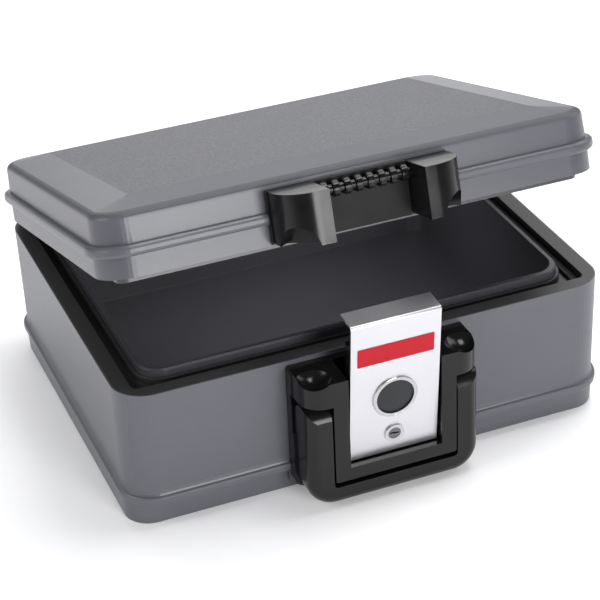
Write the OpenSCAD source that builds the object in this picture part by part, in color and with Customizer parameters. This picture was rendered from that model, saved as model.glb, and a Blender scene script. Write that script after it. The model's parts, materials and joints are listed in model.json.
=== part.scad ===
// Fireproof document box: a moulded chest with a hinged lid, a push-button latch with a key lock,
// and a U-shaped carry handle that hangs over the latch housing.
// Millimetres. +Z up, +X to the right, the latch side faces -Y, and the box stands on z = 0.
// The lid and the latch are drawn closed and then turned to their resting angles.

/* [Box] */
// Width of the body at the rim
box_w = 363; // [330:1:400]
// Depth of the body at the rim, without the latch housing
box_d = 284; // [260:2:310]
// Height of the rim of the lower half
rim_z = 106.5; // [100:0.5:115]
// Radius of the upright corners
corner_r = 24; // [18:1:30]
// Thickness of the plastic shells
shell_t = 3; // [2.5:0.5:4]
// How far the body wall leans in from the rim down to the foot bead
wall_draft = 0.8; // [0:0.1:4]
// Height of the top of the foot bead
foot_bead_top = 25; // [22:0.5:30]
// Height of the foot bead itself
foot_bead_h = 6.5; // [4:0.5:9]

/* [Lid] */
// Height of the lid from the rim to its rounded edge
lid_edge_h = 43.6; // [38:0.2:50]
// Rise from the rounded edge to the flat top panel
panel_rise = 4.5; // [2:0.5:8]
// Width of the sloping border round the top panel
border_w = 34; // [24:1:44]
// Rounding of the lid's upper edge
edge_r = 5; // [3:0.5:8]
// Height of the lid bead's underside above the rim
lid_bead_up = 14.8; // [12:0.2:18]
// Height of the lid bead
lid_bead_h = 8; // [5:0.5:10]
// How far the lid bead stands out of the lid wall
lid_bead_out = 4.3; // [2:0.1:5]
// Angle at which the lid rests ajar
lid_rest = 16.7; // [0:0.1:60]

/* [Rim and liner] */
// Width of the flat land round the rim
land_w = 12; // [10:0.5:14]
// How far the liner lip stands above the rim
lip_up = 3.3; // [2:0.1:5]
// Distance from the rim's outer edge to the liner lip
lip_inset = 22; // [20:0.5:25]
// Height of the floor of the document well
well_floor = 32; // [26:1:40]

/* [Latch housing] */
// Half width of the housing's back plate
plate_half = 66; // [65:0.5:72]
// Half width across the two cuffs
cuff_half = 65; // [62:0.5:66]
// How far the housing stands out of the front wall
housing_out = 34.9; // [33:0.1:38]
// Height of the shelf on top of the housing
shelf_z = 103.3; // [100:0.1:105]
// Half width of the centre block that carries the latch
block_half = 45.4; // [44:0.1:48]
// Height of the underside of the cuffs
cuff_z = 84.5; // [83:0.5:88]

/* [Latch] */
// Half width of the metal latch plate
latch_half = 32.8; // [30:0.1:33]
// Height of the top of the closed latch plate
latch_top = 146; // [146:0.1:148]
// Length of the hook at the top of the latch plate
hook_len = 18.3; // [16:0.1:20]
// Thickness of the sheet metal
sheet_t = 1.5; // [1:0.1:2]
// Angle at which the latch rests leaning open
latch_rest = 5.1; // [0:0.1:10]
// Radius of the push button
button_r = 13.5; // [11:0.1:14]
// Radius of the lock's face
lock_r = 7.4; // [7:0.1:8.4]

/* [Carry handle] */
// Half width of the handle
bail_half = 64; // [62:0.5:65]
// Rounding of the handle's lower corners
bail_corner = 20; // [14:1:24]
// Height of the handle's pivots
bail_pivot_z = 69; // [66:0.5:71]

/* [Hidden] */
$fn = 64;
hull_fn = 48;
eps = 0.01;

front_y = -box_d / 2;
back_y = box_d / 2;
shell_grey = [0.50, 0.51, 0.54];
black = [0.09, 0.09, 0.10];
charcoal = [0.19, 0.19, 0.20];
steel = [0.75, 0.76, 0.78];
chalk = [0.82, 0.80, 0.76];

// Lid heights
lid_gap = 0.3;
lid_bottom = rim_z + lid_gap;
lid_edge = rim_z + lid_edge_h;
panel_z = lid_edge + panel_rise;
lid_bead_z = rim_z + lid_bead_up;
lid_wall_in = 1;
lid_lean = 1.2;

// Foot
foot_bead_z = foot_bead_top - foot_bead_h;
foot_bead_out = 3.2;
foot_side_in = 0.5;
foot_front_in = 4.2;
foot_corner = 19;
foot_lean = 0.8;
foot_wall_in = 9;

// Rim, gasket groove and liner lip
land_in = land_w;
groove_floor = rim_z - 8;
frame_bottom = rim_z - 10.5;
land_edge_t = 2.2;
shell_lip_t = 1;
lip_z = rim_z + lip_up;
lip_t = 4.2;
lip_r = 18;
liner_t = 2.5;
liner_draft = 5;
fit_gap = 0.2;

// Hinge
hinge_y = back_y + 4;
hinge_z = rim_z + 0.5;
hinge_x = 105;
knuckle_r = 3.5;
hinge_pin_r = 1.5;
leaf_t = 2;
leaf_half = 25;
knuckle_mid = 12;
knuckle_gap = 0.4;

// Latch pivot and levels; depths are distances out of the front wall
pivot_out = 22;
pivot_z = 40;
latch_face = 29.5;
latch_bottom = 34;
latch_back = latch_face - sheet_t;
carrier_half = 31;
carrier_back = 16;
carrier_top = 126;
carrier_bottom = 35.5;
cavity_back = 20;
button_z = 81;
lock_z = 49.4;
lock_body_r = 6;
barrel_r = 4.6;
pocket_half = 34.3;
pocket_floor = 6;
pocket_z = 32;
latch_pin_r = 2;
stem_r = 4;
running = 0.05;
bend_r = 2;

// Carry handle
bail_pivot_out = 22;
bail_back = 10;
bail_front = 34.5;
bail_inner = 46.6;
bail_bar_top = 18;
bail_bottom = 2.5;
bail_round = 9;
bail_eye_r = 13;
bail_pin_r = 2.5;

// Lid grip
ear_inner = 33.8;
ear_out = 37.2;
ear_bottom = 108.8;
ear_top = 144.3;
ear_corner = 24;
grip_half = 66;
grip_face = 5;
grip_back = -0.6;
bar_out = 11;
bar_z = 137.9;
bar_r = 3.2;
rib_count = 8;
rib_pitch = 8.2;
rib_r = 5.5;
dish_x = 55;
dish_out = 25;
scoop_x = 54.4;
scoop_out = 26.5;
scoop_z = 107.7;

// Fasteners
screw_r = 1.6;
head_r = 3.2;
head_h = 2.2;

// ---- helpers ----

// Rounded rectangle made of squares and circles, so that its corners stay true arcs
module rrect(w, d, r) {
    union() {
        square([w - 2 * r, d], center = true);
        square([w, d - 2 * r], center = true);
        for (sx = [-1, 1], sy = [-1, 1])
            translate([sx * (w / 2 - r), sy * (d / 2 - r)]) circle(r);
    }
}

// Straight slab of the box outline, set in from it by "inset"
module slab(inset, z0, z1, r = corner_r) {
    translate([0, 0, z0]) linear_extrude(z1 - z0)
        rrect(box_w - 2 * inset, box_d - 2 * inset, r);
}

// Convex body through several outlines, each given as [height, inset]
module loft(levels, r = corner_r) {
    hull() for (l = levels)
        translate([0, 0, l[0]]) linear_extrude(eps)
            rrect(box_w - 2 * l[1], box_d - 2 * l[1], max(r - l[1], 1), $fn = hull_fn);
}

// Extrudes a front-view outline from depth p0 to depth p1 out of the front wall
module out(p0, p1) {
    translate([0, front_y - p0, 0]) rotate([90, 0, 0]) linear_extrude(p1 - p0) children();
}

// Cylinder that stands out of the front wall
module out_cyl(r, x, z, p0, p1) {
    translate([x, front_y - p0, z]) rotate([90, 0, 0]) cylinder(r = r, h = p1 - p0);
}

// Turned piece that stands out of the front wall; its profile is [radius, depth]
module out_turned(x, z) {
    translate([x, front_y, z]) rotate([90, 0, 0]) rotate_extrude() children();
}

// Cylinder along X at a depth and height on the front
module x_cyl(r, x0, x1, p, z) {
    translate([x0, front_y - p, z]) rotate([0, 90, 0]) cylinder(r = r, h = x1 - x0);
}

// Box given by its limits in x, depth out of the front wall, and z
module block(x0, x1, p0, p1, z0, z1) {
    translate([x0, front_y - p1, z0]) cube([x1 - x0, p1 - p0, z1 - z0]);
}

module both_sides() {
    for (s = [0, 1]) mirror([s, 0, 0]) children();
}

// Round coil of wire along +Z from a centre line helix
module coil(r, wire, height, turns, steps = 20, sides = 8) {
    count = turns * steps;
    lead = (height - 2 * wire) / turns;
    points = [for (i = [0:count], k = [0:sides - 1])
        let (a = 360 * i / steps, b = 360 * k / sides,
             q = r + wire * cos(b), z = wire + lead * i / steps + wire * sin(b))
        [q * cos(a), q * sin(a), z]];
    sides_f = [for (i = [0:count - 1], k = [0:sides - 1])
        let (n = (k + 1) % sides)
        [i * sides + k, i * sides + n, (i + 1) * sides + n, (i + 1) * sides + k]];
    ends_f = [[for (k = [0:sides - 1]) sides - 1 - k],
              [for (k = [0:sides - 1]) count * sides + k]];
    polyhedron(points, concat(sides_f, ends_f), convexity = 10);
}

module lid_pose() {
    translate([0, hinge_y, hinge_z]) rotate([-lid_rest, 0, 0])
        translate([0, -hinge_y, -hinge_z]) children();
}

module latch_pose() {
    translate([0, front_y - pivot_out, pivot_z]) rotate([latch_rest, 0, 0])
        translate([0, pivot_out - front_y, -pivot_z]) children();
}

// ---- lower half ----

// Places where screws hold the latch housing, as [x, z]
housing_screw_at = [[-55, 44], [55, 44], [-55, 20], [55, 20]];

// Levels of a bead with rounded edges, h tall from height z0 and standing "proud" of a wall
function bead(z0, h, wall, proud, r) = concat(
    [for (t = [0:30:90]) [z0 + r * (1 - cos(t)), wall - proud + r * (1 - sin(t))]],
    [for (t = [0:30:90]) [z0 + h - r * (1 - sin(t)), wall - proud + r * (1 - cos(t))]]);

module lower_outside() {
    // foot, set in more at the front and back than at the sides
    hull() for (l = [[0, 1], [0.5, 0.3], [1.4, 0], [foot_bead_z + 1, -foot_lean]])
        translate([0, 0, l[0]]) linear_extrude(eps)
            rrect(box_w - 2 * (foot_side_in + l[1]), box_d - 2 * (foot_front_in + l[1]),
                  foot_corner - l[1], $fn = hull_fn);
    loft(bead(foot_bead_z, foot_bead_h, wall_draft, foot_bead_out, 1.8));
    // hollow sweep from the top of the bead into the wall
    loft([[foot_bead_top - 0.6, -0.45], [foot_bead_top, -0.45], [foot_bead_top + 1.2, 0.25]]);
    loft([[foot_bead_top + 0.7, 0.2], [foot_bead_top + 4.2, wall_draft + 0.1]]);
    loft([[foot_bead_z, wall_draft], [rim_z - eps, 0]]);
}

module lower_cavity(gap = 0) {
    loft([[shell_t + gap, foot_wall_in + gap],
          [foot_bead_top, wall_draft + shell_t + gap],
          [rim_z + 1, shell_t + gap]]);
}

module lower_shell() {
    boss_in = 9;
    color(shell_grey) difference() {
        union() {
            difference() {
                lower_outside();
                lower_cavity();
                // everything in front of the latch housing's flat seat
                block(-plate_half, plate_half, 0, 10, -1, shelf_z);
            }
            block(-plate_half, plate_half, -shell_t - 1, 0, plate_bottom - 0.5, shelf_z);
            for (s = housing_screw_at) out_cyl(5, s[0], s[1], -boss_in, 0);
            for (s = [-1, 1]) translate([s * hinge_x - leaf_half - 2, back_y - 5, 80])
                cube([2 * leaf_half + 4, 5, rim_z - land_edge_t - 80]);
        }
        // rebate for the rim frame
        slab(shell_lip_t, rim_z - land_edge_t, rim_z + 1, corner_r - shell_lip_t);
        for (s = housing_screw_at) out_cyl(screw_r, s[0], s[1], -boss_in + 1, 1);
        hinge_screw_holes(lower_hinge_z);
    }
}

module lower_insulation() {
    color(chalk) difference() {
        intersection() {
            lower_cavity(fit_gap);
            slab(0, 0, frame_bottom - fit_gap);
        }
        liner_outside(fit_gap);
        block(-plate_half - 1, plate_half + 1, -5.5, 1, 0, rim_z);
        for (s = housing_screw_at) out_cyl(5.5, s[0], s[1], -10, 0);
        for (s = [-1, 1]) translate([s * hinge_x - leaf_half - 3, back_y - 6.5, 79])
            cube([2 * leaf_half + 6, 10, 40]);
    }
}

// Outline of the groove's inner wall and of everything that follows it
module lip_outline(grow = 0) {
    rrect(box_w - 2 * (lip_inset + 0.6) + 2 * grow, box_d - 2 * lip_inset + 2 * grow, lip_r + grow);
}

module rim_frame() {
    wall = 1.6;
    ring_gap = 0.8;
    color(charcoal) difference() {
        union() {
            difference() {
                union() {
                    slab(shell_lip_t, rim_z - land_edge_t, rim_z, corner_r - shell_lip_t);
                    slab(shell_t + 0.6, frame_bottom, rim_z - land_edge_t + eps,
                         corner_r - shell_t);
                }
                slab(land_in, groove_floor, rim_z + 1, 5);
            }
            // low wall between the gasket groove and the liner lip
            translate([0, 0, groove_floor - eps]) linear_extrude(rim_z - 2.6 - groove_floor)
                lip_outline(ring_gap + wall);
        }
        translate([0, 0, frame_bottom - 1]) linear_extrude(20) lip_outline(fit_gap);
        // clears the pads behind the hinge leaves
        for (s = [-1, 1]) translate([s * hinge_x - leaf_half - 2.2, back_y - 5.2, frame_bottom - 1])
            cube([2 * leaf_half + 4.4, 6, rim_z - land_edge_t - frame_bottom + 1]);
        block(-plate_half - 0.2, plate_half + 0.2, -shell_t - 1.2, 1, frame_bottom - 1,
              rim_z - land_edge_t);
    }
}

module liner_outside(gap = 0) {
    inset = lip_inset + 1;
    loft([[well_floor - liner_t - gap, inset + liner_draft - gap],
          [rim_z, inset - gap]], lip_r + inset);
}

module inner_liner() {
    inset = lip_inset + lip_t;
    color([0.13, 0.13, 0.17]) difference() {
        union() {
            liner_outside();
            translate([0, 0, frame_bottom]) linear_extrude(lip_z - 1 - frame_bottom) lip_outline();
            translate([0, 0, lip_z - 1 - eps]) linear_extrude(1 + eps) lip_outline(-0.7);
        }
        loft([[well_floor, inset + liner_draft - 1], [lip_z + 1, inset]], lip_r - 2 + inset);
    }
}

module rim_gasket() {
    inset = land_in + 0.6;
    color([0.05, 0.05, 0.05]) difference() {
        slab(inset, groove_floor, groove_floor + 2.6, 6);
        translate([0, 0, groove_floor - 1]) linear_extrude(5)
            rrect(box_w - 2 * (inset + 5.2), box_d - 2 * (inset + 5.2), 4);
    }
}

// ---- latch housing and carry handle ----

plate_bottom = 8.5;

// Plan outline of the cuffs: outer front corners rounded with radius r
module cuff_plan(half, depth, r) {
    translate([-half, front_y - depth + r]) square([2 * half, depth - r]);
    translate([-half + r, front_y - depth]) square([2 * (half - r), depth]);
    for (s = [-1, 1]) translate([s * (half - r), front_y - depth + r]) circle(r);
}

module latch_housing() {
    cuff_r = 16;
    plate_t = 9.5;
    relief = 7.6;
    color(black) difference() {
        union() {
            // back plate
            out(0, plate_t) {
                translate([0, (shelf_z + plate_bottom) / 2])
                    rrect(2 * plate_half - 0.4, shelf_z - plate_bottom, 8);
                translate([0, shelf_z - 15]) rrect(2 * plate_half - 0.4, 30, 3);
            }
            // centre block
            out(plate_t - eps, housing_out) translate([0, (shelf_z + 22.3) / 2])
                rrect(2 * block_half, shelf_z - 22.3, 1.5);
            // cuffs and shelf
            translate([0, 0, cuff_z]) linear_extrude(shelf_z - cuff_z)
                cuff_plan(cuff_half, housing_out, cuff_r);
        }
        // pocket that the latch closes into
        block(-pocket_half, pocket_half, pocket_floor, housing_out + 1, pocket_z, shelf_z + 1);
        both_sides() {
            // finger dish on top of each cuff
            translate([dish_x, front_y - dish_out, shelf_z + 10.6]) sphere(16.35);
            // room behind the handle's eyes
            block(block_half, plate_half + 1, relief, plate_t + 1, bail_pivot_z - 15, cuff_z);
            x_cyl(bail_pin_r, block_half - 8, block_half + 1, bail_pivot_out, bail_pivot_z);
        }
        x_cyl(latch_pin_r, -block_half + 3, block_half - 3, pivot_out, pivot_z);
        for (s = housing_screw_at) {
            out_cyl(screw_r + 0.2, s[0], s[1], -1, plate_t + 1);
            out_cyl(head_r + 0.3, s[0], s[1], plate_t - head_h - 0.5, plate_t + 1);
        }
    }
}

module screw(len) {
    // head at the origin, shank along -Z, crossed drive slots in the head
    difference() {
        union() {
            cylinder(r = head_r, h = head_h);
            translate([0, 0, -len]) cylinder(r = screw_r, h = len + eps);
        }
        for (a = [0, 90]) rotate([0, 0, a]) translate([-2.2, -0.4, head_h - 1.2]) cube([4.4, 0.8, 2]);
    }
}

module housing_screws() {
    seat = 9.5 - head_h - 0.5;
    color(steel) for (s = housing_screw_at)
        translate([s[0], front_y - seat, s[1]]) rotate([90, 0, 0]) screw(seat + 7);
}

module latch_pin() {
    color(steel) x_cyl(latch_pin_r, -block_half + 3.2, block_half - 3.2, pivot_out, pivot_z);
}

module handle_pins() {
    color(steel) both_sides()
        x_cyl(bail_pin_r, block_half - 7.8, bail_half - 6, bail_pivot_out, bail_pivot_z);
}

// Front-view outline of the handle's solid, before its opening is cut
module bail_outline(inset, top) {
    w = bail_half - inset;
    r = max(bail_corner - inset, 2);
    translate([-w, bail_bottom + inset + r]) square([2 * w, top - bail_bottom - inset - r]);
    translate([-w + r, bail_bottom + inset]) square([2 * (w - r), r + 1]);
    for (s = [-1, 1]) translate([s * (w - r), bail_bottom + inset + r]) circle(r, $fn = 96);
}

module carry_handle() {
    top = bail_pivot_z + 12.5;
    steps = 6;
    color(black) difference() {
        union() {
            intersection() {
                hull() {
                    out(bail_back, bail_front - bail_round) bail_outline(0, top);
                    for (i = [1:steps]) {
                        a = 90 * i / steps;
                        d = bail_front - bail_round * (1 - sin(a));
                        out(d - eps, d) bail_outline(bail_round * (1 - cos(a)), top);
                    }
                }
                union() {
                    block(-bail_half - 1, bail_half + 1, 0, 50, 0, bail_pivot_z);
                    x_cyl(bail_eye_r, -bail_half - 1, bail_half + 1, bail_pivot_out, bail_pivot_z);
                }
            }
        }
        out(0, 60) union() {
            translate([0, (top + 10 + bail_bar_top) / 2])
                rrect(2 * bail_inner, top + 10 - bail_bar_top, 3);
        }
        both_sides()
            x_cyl(bail_pin_r + running, bail_inner - 1, bail_half - 5.5, bail_pivot_out, bail_pivot_z);
    }
}

// ---- hinges ----

lower_hinge_z = 92;
upper_hinge_z = rim_z + 9.5;

module hinge_screw_holes(z) {
    for (s = [-1, 1], dx = [-16, 16]) translate([s * hinge_x + dx, back_y - 12, z])
        rotate([-90, 0, 0]) cylinder(r = screw_r, h = 20);
}

module hinge_screw_set(z, seat_y) {
    for (s = [-1, 1], dx = [-16, 16]) translate([s * hinge_x + dx, seat_y, z])
        rotate([-90, 0, 0]) screw(6);
}

// Knuckle along X, with its web to the leaf running towards "side" (+1 up, -1 down)
module knuckle(x0, x1, side) {
    translate([x0, hinge_y, hinge_z]) rotate([0, 90, 0]) cylinder(r = knuckle_r, h = x1 - x0);
    translate([x0, hinge_y - knuckle_r, side > 0 ? hinge_z : hinge_z - 5.2])
        cube([x1 - x0, leaf_t, 5.2]);
}

module lower_hinge_leaves() {
    y0 = back_y;
    color(charcoal) for (s = [-1, 1]) translate([s * hinge_x, 0, 0]) difference() {
        union() {
            translate([-leaf_half, y0, 82]) cube([2 * leaf_half, leaf_t, hinge_z - 4.4 - 82]);
            knuckle(-leaf_half, -knuckle_mid - knuckle_gap, -1);
            knuckle(knuckle_mid + knuckle_gap, leaf_half, -1);
        }
        translate([-leaf_half - 1, hinge_y, hinge_z]) rotate([0, 90, 0])
            cylinder(r = hinge_pin_r, h = 2 * leaf_half + 2);
        for (dx = [-16, 16]) translate([dx, y0 - 1, lower_hinge_z]) rotate([-90, 0, 0])
            cylinder(r = screw_r + 0.1, h = 10);
    }
}

module lower_hinge_screws() {
    color(steel) hinge_screw_set(lower_hinge_z, back_y + leaf_t);
}

module hinge_pins() {
    color(steel) for (s = [-1, 1]) translate([s * hinge_x - leaf_half, hinge_y, hinge_z])
        rotate([0, 90, 0]) cylinder(r = hinge_pin_r, h = 2 * leaf_half);
}

module upper_hinge_leaves() {
    y0 = back_y - lid_wall_in + 0.3;
    color(charcoal) lid_pose() for (s = [-1, 1]) translate([s * hinge_x, 0, 0]) difference() {
        union() {
            translate([-leaf_half, y0, hinge_z + 4.4])
                cube([2 * leaf_half, leaf_t, lid_bead_z - 0.3 - hinge_z - 4.4]);
            knuckle(-knuckle_mid, knuckle_mid, 1);
        }
        translate([-leaf_half - 1, hinge_y, hinge_z]) rotate([0, 90, 0])
            cylinder(r = hinge_pin_r + running, h = 2 * leaf_half + 2);
        for (dx = [-16, 16]) translate([dx, y0 - 1, upper_hinge_z]) rotate([-90, 0, 0])
            cylinder(r = screw_r + 0.1, h = 10);
    }
}

module upper_hinge_screws() {
    color(steel) lid_pose() hinge_screw_set(upper_hinge_z, back_y - lid_wall_in + 0.3 + leaf_t);
}

// ---- lid ----

// Heights and insets of the lid's rounded edge and sloping border
lid_round = [for (a = [0:15:75])
    [lid_edge - edge_r * (1 - sin(a)), lid_wall_in + lid_lean + edge_r * (1 - cos(a))]];

module lid_outside() {
    panel_w = box_w - 2 * border_w;
    panel_d = box_d - 2 * border_w;
    // skirt
    loft([[lid_bottom, 0.8], [lid_bead_z + 1, lid_wall_in]]);
    loft(bead(lid_bead_z, lid_bead_h, lid_wall_in, lid_bead_out, 2.8));
    // upper wall, rounded edge, sloping border and top panel
    hull() {
        loft(concat([[lid_bead_z, lid_wall_in]], lid_round));
        translate([0, 0, panel_z - eps]) linear_extrude(eps)
            square([panel_w, panel_d], center = true);
    }
}

module lid_cavity(gap = 0) {
    inset = lid_wall_in + shell_t + gap;
    hull() {
        loft([[lid_bottom - 1, inset], [lid_edge - edge_r, inset + lid_lean],
              [lid_edge - shell_t - gap, inset + lid_lean + edge_r]]);
        translate([0, 0, panel_z - shell_t - gap - eps]) linear_extrude(eps)
            square([box_w - 2 * border_w, box_d - 2 * border_w], center = true);
    }
}

// Places where screws hold the lid grip, as [x, z]
grip_screw_at = [[-50, 137], [50, 137], [-50, 115], [50, 115]];

module lid_shell() {
    color(shell_grey) lid_pose() difference() {
        union() {
            difference() {
                lid_outside();
                lid_cavity();
                block(-grip_half, grip_half, grip_back, 8, lid_bottom - 1, ear_top);
                for (s = [-1, 1]) translate([s * hinge_x - leaf_half - 0.4,
                                            back_y - lid_wall_in + 0.3, lid_bottom - 1])
                    cube([2 * leaf_half + 0.8, 5, lid_bead_z - lid_bottom + 1]);
            }
            block(-grip_half, grip_half, -shell_t - 1, grip_back, lid_bottom, ear_top);
            for (s = [-1, 1]) translate([s * hinge_x - leaf_half - 0.4,
                                        back_y - lid_wall_in + 0.3 - 3.5, lid_bottom])
                cube([2 * leaf_half + 0.8, 3.5, lid_bead_z - lid_bottom + 1]);
        }
        for (s = grip_screw_at) {
            out_cyl(screw_r + 0.2, s[0], s[1], -8, 1);
            out_cyl(head_r + 0.3, s[0], s[1], -9, -shell_t - 1);
        }
        hinge_screw_holes(upper_hinge_z);
    }
}

module lid_insulation() {
    color(chalk) lid_pose() difference() {
        intersection() {
            lid_cavity(fit_gap);
            slab(0, liner_top + fit_gap, panel_z);
        }
        slab(roof_in - 0.2, lid_bottom - 1, roof_z + liner_t + fit_gap, 14);
        block(-grip_half - 1, grip_half + 1, -7.5, 1, lid_bottom, ear_top + 1);
        for (s = [-1, 1]) translate([s * hinge_x - leaf_half - 1.5, back_y - 12, lid_bottom])
            cube([2 * leaf_half + 3, 12, lid_bead_z - lid_bottom + 2]);
    }
}

// Underside of the lid: a flat frame with a sealing tongue, and a shallow roof over the well
liner_bottom = lid_bottom + 0.6;
liner_top = lid_bottom + 6.4;
roof_in = lip_inset + 6;
roof_z = 128;

module lid_liner() {
    tongue_in = land_in + 1;
    tongue_t = 4.6;
    color([0.12, 0.12, 0.15]) lid_pose() difference() {
        union() {
            slab(lid_wall_in + shell_t + 1.2, liner_bottom, liner_top, corner_r - 4);
            slab(tongue_in, groove_floor + 3, liner_bottom + eps, 7);
            slab(roof_in, liner_bottom, roof_z + liner_t, 14);
        }
        slab(tongue_in + tongue_t, groove_floor, liner_bottom, 5);
        slab(roof_in + liner_t, liner_bottom - 1, roof_z, 12);
        // clears the liner lip of the lower half
        translate([0, 0, liner_bottom - 1]) linear_extrude(lip_z + 0.9 - liner_bottom + 1)
            lip_outline(1.4);
        block(-grip_half - 0.3, grip_half + 0.3, -shell_t - 1.3, 1, liner_bottom - 1, liner_top + 1);
        for (s = grip_screw_at) out_cyl(head_r + 0.4, s[0], s[1], -8, 1);
        for (s = [-1, 1], dx = [-16, 16]) translate([s * hinge_x + dx, back_y - 9, upper_hinge_z])
            rotate([-90, 0, 0]) cylinder(r = 2.2, h = 10);
    }
}

module ear_plan() {
    w = cuff_half - ear_inner;
    translate([ear_inner, front_y - ear_out]) square([w - ear_corner, ear_out - grip_face + 1]);
    translate([ear_inner, front_y - ear_out + ear_corner])
        square([w, ear_out - ear_corner - grip_face + 1]);
    intersection() {
        translate([cuff_half - ear_corner, front_y - ear_out + ear_corner])
            circle(ear_corner, $fn = 128);
        translate([cuff_half - ear_corner - eps, front_y - ear_out]) square(ear_corner + eps);
    }
}

module lid_grip() {
    color(black) lid_pose() difference() {
        union() {
            out(grip_back, grip_face) translate([0, (lid_bottom + ear_top + 0.4) / 2])
                rrect(2 * grip_half - 0.4, ear_top - lid_bottom - 0.4, 1.5);
            both_sides() translate([0, 0, ear_bottom]) linear_extrude(ear_top - ear_bottom) ear_plan();
            // ribbed bar that the latch hooks over
            x_cyl(bar_r, -ear_inner - 1, ear_inner + 1, bar_out, bar_z);
            block(-ear_inner, ear_inner, grip_face - 1, bar_out, bar_z - 2.4, bar_z + 2.4);
            for (i = [0:rib_count - 1]) {
                x = (i - (rib_count - 1) / 2) * rib_pitch;
                x_cyl(rib_r, x - 1.6, x + 1.6, bar_out, bar_z);
                x_cyl(rib_r - 0.5, x - 2.1, x + 2.1, bar_out, bar_z);
                // web that ties the rib to the back plate
                block(x - 2.1, x + 2.1, grip_face - 1, bar_out, bar_z - rib_r + 0.5, bar_z + rib_r - 0.5);
            }
        }
        // finger scoop under each ear
        both_sides() translate([scoop_x, front_y - scoop_out, scoop_z]) rotate([90, 0, 45])
            translate([0, 0, -9]) cylinder(r = 14.7, h = 31);
        for (s = grip_screw_at) out_cyl(screw_r, s[0], s[1], -1, grip_face + 6);
    }
}

module lid_grip_screws() {
    seat = -shell_t - 1;
    color(steel) lid_pose() for (s = grip_screw_at)
        translate([s[0], front_y - seat, s[1]]) rotate([-90, 0, 0]) screw(9);
}

// ---- latch ----

// Side outline of the plate and its hook, as [depth, height]
module latch_profile() {
    lip_drop = 2.2;
    x1 = latch_face;
    translate([x1 - sheet_t, latch_bottom]) square([sheet_t, latch_top - bend_r - latch_bottom]);
    translate([x1 - hook_len, latch_top - sheet_t]) square([hook_len - bend_r, sheet_t]);
    translate([x1 - hook_len, latch_top - lip_drop]) square([sheet_t, lip_drop]);
    intersection() {
        difference() {
            translate([x1 - bend_r, latch_top - bend_r]) circle(bend_r);
            translate([x1 - bend_r, latch_top - bend_r]) circle(bend_r - sheet_t);
        }
        translate([x1 - bend_r, latch_top - bend_r]) square(bend_r + 1);
    }
}

module latch_plate() {
    color([0.90, 0.91, 0.93]) latch_pose() difference() {
        translate([-latch_half, front_y, 0]) rotate([0, 0, 90]) rotate([90, 0, 0])
            mirror([1, 0, 0]) linear_extrude(2 * latch_half) latch_profile();
        out_cyl(15.1, 0, button_z, latch_back - 1, latch_face + 1);
        out_cyl(lock_body_r + 0.1, 0, lock_z, latch_back - 1, latch_face + 1);
        for (x = [-24, 24], z = [carrier_bottom + 8, carrier_top - 8])
            out_cyl(1.5, x, z, latch_back - 1, latch_face - 0.5);
    }
}

module latch_carrier() {
    notch = 11;
    color(black) latch_pose() difference() {
        block(-carrier_half, carrier_half, carrier_back, latch_back, carrier_bottom, carrier_top);
        // hollow round the push button, and the bore that guides its stem
        out_cyl(15.1, 0, button_z, cavity_back, latch_back + 1);
        out_cyl(stem_r + running, 0, button_z, carrier_back - 1, cavity_back + 1);
        out_cyl(lock_body_r + 0.1, 0, lock_z, carrier_back - 1, latch_back + 1);
        // hollow behind the upper half
        block(-carrier_half + 3, carrier_half - 3, carrier_back - 1, latch_back - 3,
              button_z + 20, carrier_top - 3);
        // pivot
        x_cyl(latch_pin_r + running, -carrier_half - 1, carrier_half + 1, pivot_out, pivot_z);
        block(-notch, notch, carrier_back - 1, latch_back + 1, carrier_bottom - 1, pivot_z + 4);
        for (x = [-24, 24], z = [carrier_bottom + 8, carrier_top - 8])
            if (z > pivot_z + 20) out_cyl(1.5, x, z, latch_back - 4, latch_back + 1);
            else out_cyl(1.5, x, z, latch_back - 2.5, latch_back + 1);
        // lower back edge rounded about the pivot
        difference() {
            block(-carrier_half - 1, carrier_half + 1, carrier_back - 1, pivot_out,
                  carrier_bottom - 1, pivot_z);
            x_cyl(6, -carrier_half - 2, carrier_half + 2, pivot_out, pivot_z);
        }
    }
}

module latch_rivets() {
    color(steel) latch_pose() for (x = [-24, 24], z = [carrier_bottom + 8, carrier_top - 8])
        out_cyl(1.5, x, z, latch_back - 2.5, latch_face - 0.5);
}

module badge() {
    color([0.78, 0.10, 0.14]) latch_pose()
        out(latch_face, latch_face + 0.4) translate([0, 119.4]) rrect(56, 14.4, 0.8);
}

module button_bezel() {
    inner = button_r + 0.3;
    color(steel) latch_pose() out_turned(0, button_z) {
        translate([inner, 22]) square([15 - inner, latch_face - 22 + 0.2]);
        translate([inner, latch_face]) square([16.5 - inner - 0.7, 1.3]);
        translate([inner, latch_face]) square([16.5 - inner, 0.6]);
        translate([16.5 - 0.7, latch_face + 0.7]) circle(0.7, $fn = 32);
    }
}

module push_button() {
    crown_r = 90;
    color([0.22, 0.23, 0.25]) latch_pose() difference() {
        union() {
            intersection() {
                out_cyl(button_r, 0, button_z, 27, 31);
                translate([0, front_y - 30.6 + crown_r, button_z]) sphere(crown_r, $fn = 200);
            }
            out_cyl(stem_r, 0, button_z, 12.5, 27.5);
        }
        out_turned(0, button_z) translate([3.1, 14.3]) square([3, 1.4]);
    }
}

module button_clip() {
    color(steel) latch_pose() difference() {
        out_cyl(6, 0, button_z, 14.5, 15.5);
        out_cyl(3.15, 0, button_z, 14, 16);
        block(-1.6, 1.6, 14, 16, button_z - 8, button_z);
    }
}

module button_spring() {
    wire = 0.55;
    color(steel) latch_pose() translate([0, front_y - cavity_back - 0.05, button_z])
        rotate([90, 0, 0]) coil(6, wire, 27 - cavity_back - 0.1, 5);
}

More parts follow.
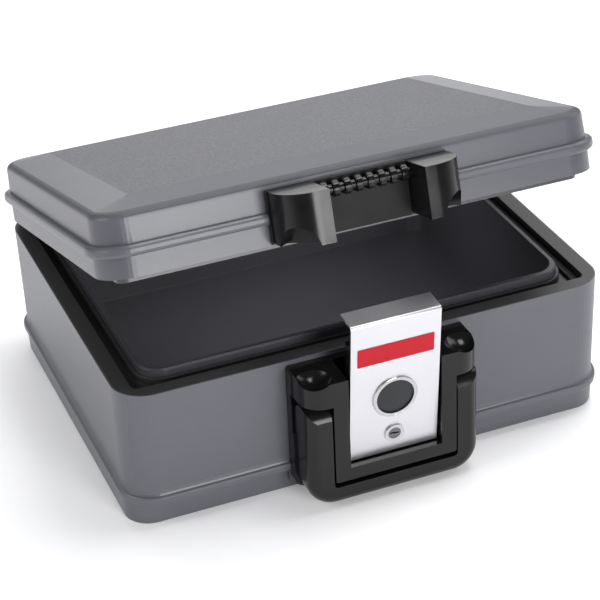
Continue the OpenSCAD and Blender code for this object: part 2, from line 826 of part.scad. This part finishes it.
module lock_housing() {
    color(steel) latch_pose() difference() {
        union() {
            out_cyl(lock_body_r, 0, lock_z, 12, latch_face + 0.1);
            out_cyl(lock_r, 0, lock_z, latch_face, latch_face + 0.7);
            out_cyl(lock_r - 0.5, 0, lock_z, latch_face, latch_face + 1.1);
        }
        out_cyl(barrel_r + running, 0, lock_z, 11, latch_face + 2);
    }
}

module lock_nut() {
    color(steel) latch_pose() difference() {
        translate([0, front_y - 13, lock_z]) rotate([90, 30, 0]) cylinder(r = 9.5, h = 3, $fn = 6);
        out_cyl(lock_body_r, 0, lock_z, 12, 17);
    }
}

module lock_barrel() {
    color([0.62, 0.63, 0.65]) latch_pose() difference() {
        out_cyl(barrel_r, 0, lock_z, 11.5, latch_face + 0.8);
        // keyway
        block(-3.4, 0.4, 18, latch_face + 2, lock_z - 0.3, lock_z + 0.9);
        block(-0.4, 3.4, 18, latch_face + 2, lock_z - 0.9, lock_z + 0.3);
        out_cyl(1.5, 0, lock_z, 10, 16.5);
    }
}

module lock_cam() {
    color(steel) latch_pose() difference() {
        union() {
            out_cyl(barrel_r, 0, lock_z, 9.5, 11.5);
            block(0, 16, 9.5, 11.5, lock_z - 4, lock_z + 4);
        }
        out_cyl(1.55, 0, lock_z, 9, 12);
    }
}

module cam_screw() {
    color(steel) latch_pose() {
        translate([0, front_y - 9.5, lock_z]) rotate([-90, 0, 0]) difference() {
            cylinder(r = head_r, h = 2);
            for (a = [0, 90]) rotate([0, 0, a]) translate([-2.2, -0.4, 0.9]) cube([4.4, 0.8, 2]);
        }
        out_cyl(1.5, 0, lock_z, 9.5 - eps, 16);
    }
}

module latch_spring() {
    wire = 0.45;
    width = 18;
    color(steel) translate([-width / 2, front_y - pivot_out, pivot_z]) rotate([0, 90, 0])
        coil(2.55, wire, width, 12, 16);
}

lower_shell();
lower_insulation();
rim_frame();
inner_liner();
rim_gasket();
latch_housing();
housing_screws();
latch_pin();
handle_pins();
lower_hinge_leaves();
lower_hinge_screws();
hinge_pins();
lid_shell();
lid_insulation();
lid_liner();
lid_grip();
lid_grip_screws();
upper_hinge_leaves();
upper_hinge_screws();
latch_plate();
latch_carrier();
latch_rivets();
badge();
button_bezel();
lock_housing();
lock_nut();
latch_spring();
push_button();
button_clip();
button_spring();
lock_barrel();
lock_cam();
cam_screw();
carry_handle();
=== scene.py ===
"""Looks of the fireproof document box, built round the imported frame. Metres, +Z up, latch side towards -Y."""

import json
import math

import bpy
from mathutils import Matrix, Vector


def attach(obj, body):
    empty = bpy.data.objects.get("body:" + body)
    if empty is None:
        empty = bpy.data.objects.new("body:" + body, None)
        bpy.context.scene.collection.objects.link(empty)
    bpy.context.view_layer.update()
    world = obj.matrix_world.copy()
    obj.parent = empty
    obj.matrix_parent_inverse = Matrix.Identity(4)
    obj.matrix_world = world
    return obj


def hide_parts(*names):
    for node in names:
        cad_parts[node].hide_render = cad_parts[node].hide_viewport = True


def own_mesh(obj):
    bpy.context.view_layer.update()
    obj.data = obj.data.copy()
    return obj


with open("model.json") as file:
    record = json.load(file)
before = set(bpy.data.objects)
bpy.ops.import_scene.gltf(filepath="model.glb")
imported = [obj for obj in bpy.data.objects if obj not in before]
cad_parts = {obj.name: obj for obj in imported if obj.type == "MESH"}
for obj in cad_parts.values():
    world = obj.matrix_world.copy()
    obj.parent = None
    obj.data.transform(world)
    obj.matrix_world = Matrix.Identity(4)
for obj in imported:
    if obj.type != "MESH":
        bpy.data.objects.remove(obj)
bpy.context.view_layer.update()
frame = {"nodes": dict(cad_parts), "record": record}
NODES = frame["nodes"]

scene = bpy.context.scene
scene.view_settings.view_transform = "Standard"
scene.view_settings.look = "None"


# ---------------------------------------------------------------- materials


class Nodes:
    """Short way to wire a procedural material."""

    def __init__(self, name):
        self.mat = bpy.data.materials.new(name)
        self.mat.use_nodes = True
        self.tree = self.mat.node_tree
        self.shader = self.tree.nodes["Principled BSDF"]
        self.coord = self.add("ShaderNodeTexCoord")

    def add(self, kind, **sockets):
        node = self.tree.nodes.new(kind)
        for key, value in sockets.items():
            node.inputs[key].default_value = value
        return node

    def link(self, a, b):
        self.tree.links.new(a, b)

    def scaled(self, scale):
        m = self.add("ShaderNodeMapping")
        m.inputs["Scale"].default_value = scale
        self.link(self.coord.outputs["Object"], m.inputs["Vector"])
        return m.outputs["Vector"]

    def noise(self, scale, detail=4.0, rough=0.55, vector=None):
        n = self.add("ShaderNodeTexNoise", Scale=scale, Detail=detail, Roughness=rough)
        self.link(vector or self.coord.outputs["Object"], n.inputs["Vector"])
        return n.outputs["Fac"]

    def remap(self, value, low, high, to_low, to_high):
        m = self.add("ShaderNodeMapRange")
        for key, v in zip(("From Min", "From Max", "To Min", "To Max"), (low, high, to_low, to_high)):
            m.inputs[key].default_value = v
        self.link(value, m.inputs["Value"])
        return m.outputs["Result"]

    def maths(self, op, a, b):
        m = self.add("ShaderNodeMath")
        m.operation = op
        for socket, v in zip(m.inputs, (a, b)):
            if isinstance(v, (int, float)):
                socket.default_value = v
            else:
                self.link(v, socket)
        return m.outputs[0]

    def blend(self, fac, a, b):
        m = self.add("ShaderNodeMix")
        m.data_type = "RGBA"
        for socket, v in ((m.inputs[0], fac), (m.inputs[6], a), (m.inputs[7], b)):
            if hasattr(v, "links"):
                self.link(v, socket)
            elif isinstance(v, (int, float)):
                socket.default_value = v
            else:
                socket.default_value = (*v, 1)
        return m.outputs[2]

    def bump(self, height, strength, distance, normal=None):
        b = self.add("ShaderNodeBump", Strength=strength, Distance=distance)
        self.link(height, b.inputs["Height"])
        if normal:
            self.link(normal, b.inputs["Normal"])
        return b.outputs["Normal"]

    def set(self, **values):
        for key, v in values.items():
            socket = self.shader.inputs[key.replace("_", " ")]
            if hasattr(v, "links"):
                self.link(v, socket)
            elif isinstance(v, tuple) and len(v) == 3:
                socket.default_value = (*v, 1)
            else:
                socket.default_value = v


def moulded(name, base, rough, grain=1500, grain_depth=0.00004, tone=0.07, blotch=14, spec=0.5):
    """Moulded plastic: soft blotches of tone, a fine grain, and roughness that follows the grain."""
    m = Nodes(name)
    broad = m.noise(blotch, 3)
    fine = m.noise(grain, 2, 0.6)
    dark = tuple(c * (1 - tone) for c in base)
    light = tuple(min(c * (1 + tone), 1) for c in base)
    colour = m.blend(m.remap(broad, 0.3, 0.7, 0, 1), dark, light)
    speck = m.blend(m.remap(fine, 0.35, 0.65, 0, 0.25), colour, tuple(c * 0.8 for c in base))
    m.set(Base_Color=speck, Roughness=m.remap(fine, 0.3, 0.7, rough - 0.05, rough + 0.06),
          Normal=m.bump(fine, 0.6, grain_depth), Specular_IOR_Level=spec)
    return m.mat


# The lid's hinge axis as (y, z), its angle at rest, and marks on the closed lid: the height where the top's
# rounded edge ends, half the size of the stippled panel, and the limits of the grip's back plate.
LID_HINGE = (0.146, 0.107)
LID_REST = math.radians(16.7)
LID_EDGE_Z = 0.1501
PANEL_HALF = (0.1475, 0.108)
GRIP_PLATE_HALF = 0.0337
GRIP_PLATE_FOOT_Z = 0.1065
GRIP_PLATE_FRONT_Y = -0.1474


def shut(m):
    """Object coordinates of a lid piece, turned back to the closed lid."""
    split = m.add("ShaderNodeSeparateXYZ")
    m.link(m.coord.outputs["Object"], split.inputs[0])
    y = m.maths("SUBTRACT", split.outputs["Y"], LID_HINGE[0])
    z = m.maths("SUBTRACT", split.outputs["Z"], LID_HINGE[1])
    cos, sin = math.cos(LID_REST), math.sin(LID_REST)
    shut_y = m.maths("ADD", m.maths("ADD", m.maths("MULTIPLY", y, cos), m.maths("MULTIPLY", z, -sin)),
                     LID_HINGE[0])
    shut_z = m.maths("ADD", m.maths("ADD", m.maths("MULTIPLY", y, sin), m.maths("MULTIPLY", z, cos)),
                     LID_HINGE[1])
    return split.outputs["X"], shut_y, shut_z


def shell(name, base, rough):
    """Grey moulded shell: fine grain everywhere, and a coarse stipple on the lid's top panel. The panel, more
    so in the stipple's hollows, and the lid's rounded top edge are painted darker: painted shade.
    """
    m = Nodes(name)
    across, shut_y, shut_z = shut(m)
    on_top = m.maths("GREATER_THAN", shut_z, LID_EDGE_Z + 0.00012)
    # Painted shade: a band on the lid's rounded top edge, painted darker and made rougher.
    edge_painted_shade = m.maths("MULTIPLY", m.remap(shut_z, LID_EDGE_Z - 0.0034, LID_EDGE_Z - 0.0012, 0, 1),
                      m.maths("SUBTRACT", 1.0, on_top))
    in_x = m.maths("LESS_THAN", m.maths("ABSOLUTE", across, 0.0), PANEL_HALF[0])
    in_y = m.maths("LESS_THAN", m.maths("ABSOLUTE", shut_y, 0.0), PANEL_HALF[1])
    panel = m.maths("MULTIPLY", on_top, m.maths("MULTIPLY", in_x, in_y))

    broad = m.noise(11, 3)
    fine = m.noise(1400, 2, 0.6)
    streak = m.noise(60, 4, 0.6, m.scaled((1, 1, 9)))
    stipple = m.noise(430, 3, 0.7)
    colour = m.blend(m.remap(broad, 0.3, 0.7, 0, 1), tuple(c * 0.95 for c in base),
                     tuple(c * 1.05 for c in base))
    colour = m.blend(m.remap(streak, 0.3, 0.7, 0.0, 0.16), colour, tuple(c * 0.72 for c in base))
    colour = m.blend(m.remap(fine, 0.35, 0.65, 0, 0.22), colour, tuple(c * 0.8 for c in base))
    # Painted shade: the top panel painted darker as a whole, and darker still in the stipple's hollows.
    panel_painted_shade = m.maths("MULTIPLY", m.remap(stipple, 0.38, 0.62, 0.05, 1.0), panel)
    colour = m.blend(panel_painted_shade, colour, tuple(c * 0.5 for c in base))
    # The rounded top edge painted darker: painted shade.
    colour = m.blend(m.maths("MULTIPLY", edge_painted_shade, 0.6), colour, tuple(c * 0.4 for c in base))
    rough_all = m.maths("ADD", m.remap(fine, 0.3, 0.7, rough - 0.04, rough + 0.05),
                        m.maths("ADD", m.maths("MULTIPLY", edge_painted_shade, 0.2), m.maths("MULTIPLY", panel, 0.12)))
    geometry = m.add("ShaderNodeNewGeometry")
    mix = m.add("ShaderNodeMix")
    mix.data_type = "VECTOR"
    m.link(on_top, mix.inputs[0])
    m.link(geometry.outputs["Normal"], mix.inputs[4])
    m.link(geometry.outputs["True Normal"], mix.inputs[5])
    grain = m.bump(fine, 0.5, 0.00003, mix.outputs[1])
    coarse = m.bump(m.maths("MULTIPLY", stipple, panel), 0.9, 0.0005, grain)
    m.set(Base_Color=colour, Roughness=rough_all, Normal=coarse, Specular_IOR_Level=0.5)
    return m.mat


def polished(name, base, rough, tone=0.15, spec=0.5, ripple_depth=0.0003):
    """Glossy plastic with faint handling haze and a slight moulding ripple."""
    m = Nodes(name)
    haze = m.noise(60, 5)
    ripple = m.noise(90, 1, 0.4)
    colour = m.blend(m.remap(haze, 0.3, 0.7, 0, 1), base, tuple(c * (1 + tone) + 0.0015 for c in base))
    # The grip's back plate between the ears is matt.
    across, shut_y, shut_z = shut(m)
    plate = m.maths("MULTIPLY", m.maths("LESS_THAN", m.maths("ABSOLUTE", across, 0.0), GRIP_PLATE_HALF),
                    m.maths("MULTIPLY", m.maths("GREATER_THAN", shut_z, GRIP_PLATE_FOOT_Z),
                            m.maths("GREATER_THAN", shut_y, GRIP_PLATE_FRONT_Y)))
    m.set(Base_Color=colour, Roughness=m.maths("ADD", m.remap(haze, 0.3, 0.7, rough - 0.03, rough + 0.05),
                                               m.maths("MULTIPLY", plate, 0.45)),
          Normal=m.bump(ripple, 0.15, ripple_depth), Specular_IOR_Level=spec)
    return m.mat


def metal(name, base, rough, stretch=(1, 1, 1), scale=900, depth=0.00001, tone=0.06):
    """Metal with a fine finish; stretch draws the finish out into brushing."""
    m = Nodes(name)
    fine = m.noise(scale, 3, 0.6, m.scaled(stretch))
    broad = m.noise(25, 3)
    colour = m.blend(m.remap(fine, 0.3, 0.7, 0, 1), tuple(c * (1 - tone) for c in base), base)
    worn = m.blend(m.remap(broad, 0.35, 0.75, 0, 0.3), colour, tuple(c * 0.92 for c in base))
    m.set(Base_Color=worn, Metallic=1.0, Roughness=m.remap(fine, 0.3, 0.7, rough - 0.04, rough + 0.05),
          Normal=m.bump(fine, 0.4, depth))
    return m.mat


MATS = {
    "grey_shell": shell("grey_shell", (0.102, 0.104, 0.121), 0.35),
    "charcoal_frame": moulded("charcoal_frame", (0.036, 0.036, 0.037), 0.38, spec=0.4),
    "dark_liner": moulded("dark_liner", (0.054, 0.053, 0.062), 0.34),
    "insulation": moulded("insulation", (0.62, 0.60, 0.55), 0.9),
    "seal": moulded("seal", (0.010, 0.010, 0.010), 0.7),
    "black_plastic": polished("black_plastic", (0.0050, 0.0050, 0.0052), 0.19, spec=0.31),
    "hinge_plastic": moulded("hinge_plastic", (0.020, 0.020, 0.022), 0.42),
    "satin_metal": metal("satin_metal", (0.68, 0.68, 0.71), 0.36, (1, 1, 0.05), tone=0.02),
    "red_badge": polished("red_badge", (0.42, 0.008, 0.018), 0.3, tone=0.05, spec=0.2,
                          ripple_depth=0.00002),
    "chrome_trim": metal("chrome_trim", (0.56, 0.56, 0.58), 0.07),
    "lock_metal": metal("lock_metal", (0.17, 0.17, 0.18), 0.2),
    "button_grey": moulded("button_grey", (0.012, 0.013, 0.016), 0.40, 2600, spec=0.4),
    "steel": metal("steel", (0.58, 0.59, 0.61), 0.3),
}

slot_of = {s["node"]: s["material_slot"] for s in frame["record"]["subparts"]}
for name, obj in NODES.items():
    obj.data.materials.clear()
    obj.data.materials.append(MATS[slot_of[name]])


# ---------------------------------------------------------------- CAD nodes


def soften(obj, width, harden=True):
    """Rounds the crisp CAD edges with modifiers only. Curved pieces shade better with weighted normals."""
    weld = obj.modifiers.new("weld", "WELD")
    weld.merge_threshold = 1e-6
    flat = obj.modifiers.new("flat", "DECIMATE")
    flat.decimate_type = "DISSOLVE"
    flat.angle_limit = math.radians(0.5)
    bevel = obj.modifiers.new("bevel", "BEVEL")
    bevel.width = width
    bevel.segments = 3
    bevel.limit_method = "ANGLE"
    bevel.angle_limit = math.radians(30)
    bevel.miter_outer = "MITER_ARC"
    bevel.harden_normals = harden
    if not harden:
        weighted = obj.modifiers.new("weighted", "WEIGHTED_NORMAL")
        weighted.keep_sharp = False
        weighted.weight = 50


for name, width in (("latch_plate", 0.0003), ("lower_shell", 0.0006), ("lid_shell", 0.0006),
                    ("rim_frame", 0.0004), ("inner_liner", 0.0006), ("lid_liner", 0.0005)):
    soften(NODES[name], width)
for name in ("latch_housing", "carry_handle", "lid_grip"):
    soften(NODES[name], 0.0009, harden=False)


def make_button_coil():
    """The button's spring again, as a piece of its own fixed to the button, with the part's own spring hidden.
    """
    coil = bpy.data.objects.new("button_coil", NODES["button_spring"].data.copy())
    scene.collection.objects.link(coil)
    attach(coil, "button")
    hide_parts("button_spring")
    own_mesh(coil)


make_button_coil()


# ---------------------------------------------------------------- stage, light and camera

AZIMUTH, ELEVATION, ROLL = (math.radians(a) for a in (-20.81, 30.67, -2.73))
CAMERA_AT = Vector((-0.4578, -1.2082, 0.8279))
LENS_MM = 120.08


def make_camera():
    back = Vector((math.sin(AZIMUTH) * math.cos(ELEVATION), -math.cos(AZIMUTH) * math.cos(ELEVATION),
                   math.sin(ELEVATION)))
    level_right = (-back).cross(Vector((0, 0, 1))).normalized()
    level_up = level_right.cross(-back)
    right = level_right * math.cos(ROLL) + level_up * math.sin(ROLL)
    up = level_up * math.cos(ROLL) - level_right * math.sin(ROLL)
    data = bpy.data.cameras.new("camera")
    data.sensor_width = 36
    data.lens = LENS_MM
    data.clip_end = 20
    cam = bpy.data.objects.new("camera", data)
    scene.collection.objects.link(cam)
    turn = Matrix((right, up, back)).transposed().to_4x4()
    cam.matrix_world = Matrix.Translation(CAMERA_AT) @ turn
    scene.camera = cam


def area_light(name, at, towards, size, power):
    """A soft rectangular lamp that the camera doesn't see."""
    data = bpy.data.lights.new(name, "AREA")
    data.shape = "RECTANGLE"
    data.size, data.size_y = size
    data.energy = power
    obj = bpy.data.objects.new(name, data)
    scene.collection.objects.link(obj)
    obj.location = at
    obj.rotation_mode = "QUATERNION"
    obj.rotation_quaternion = (Vector(towards) - Vector(at)).to_track_quat("-Z", "Y")
    obj.visible_camera = False


FLOOR_HALF = 4.0

# name, place, aim, size in metres, power in watts
LAMPS = (
    ("front", (0.22, -1.6, 0.46), (0, -0.1, 0.15), (0.6, 0.75), 17),
    ("back", (0.35, 1.3, 1.5), (0, 0, 0.1), (2.2, 1.2), 22),
    ("left", (-1.7, -0.1, 1.1), (0, 0, 0.1), (1.2, 1.2), 15),
    ("right", (1.6, 0.1, 1.3), (0, 0, 0.1), (1.2, 1.2), 13),
    ("overhead", (0.45, 0.05, 2.1), (0, 0, 0.1), (0.9, 0.7), 17),
    ("horizon", (0.7, 2.2, 0.35), (0, 0, 0.15), (1.3, 0.5), 3.4),
    ("well", (0, 0.015, 0.139), (0, 0.035, 0), (0.24, 0.12), 0.16),
)


def make_floor():
    half = FLOOR_HALF
    mesh = bpy.data.meshes.new("floor")
    corners = [(-half, -half, 0), (half, -half, 0), (half, half, 0), (-half, half, 0)]
    mesh.from_pydata(corners, [], [(0, 1, 2, 3)])
    floor = bpy.data.objects.new("floor", mesh)
    scene.collection.objects.link(floor)
    m = Nodes("floor")
    tone = m.noise(3, 2)
    m.set(Base_Color=m.blend(tone, (0.94, 0.94, 0.95), (0.96, 0.96, 0.97)), Roughness=0.7,
          Emission_Color=(1.0, 1.0, 1.0), Emission_Strength=0.14)
    floor.data.materials.append(m.mat)


def make_light():
    world = bpy.data.worlds.new("world")
    world.use_nodes = True
    background = world.node_tree.nodes["Background"]
    background.inputs["Color"].default_value = (0.93, 0.94, 0.96, 1)
    background.inputs["Strength"].default_value = 0.16
    scene.world = world
    for lamp in LAMPS:
        area_light(*lamp)


make_camera()
make_floor()
make_light()
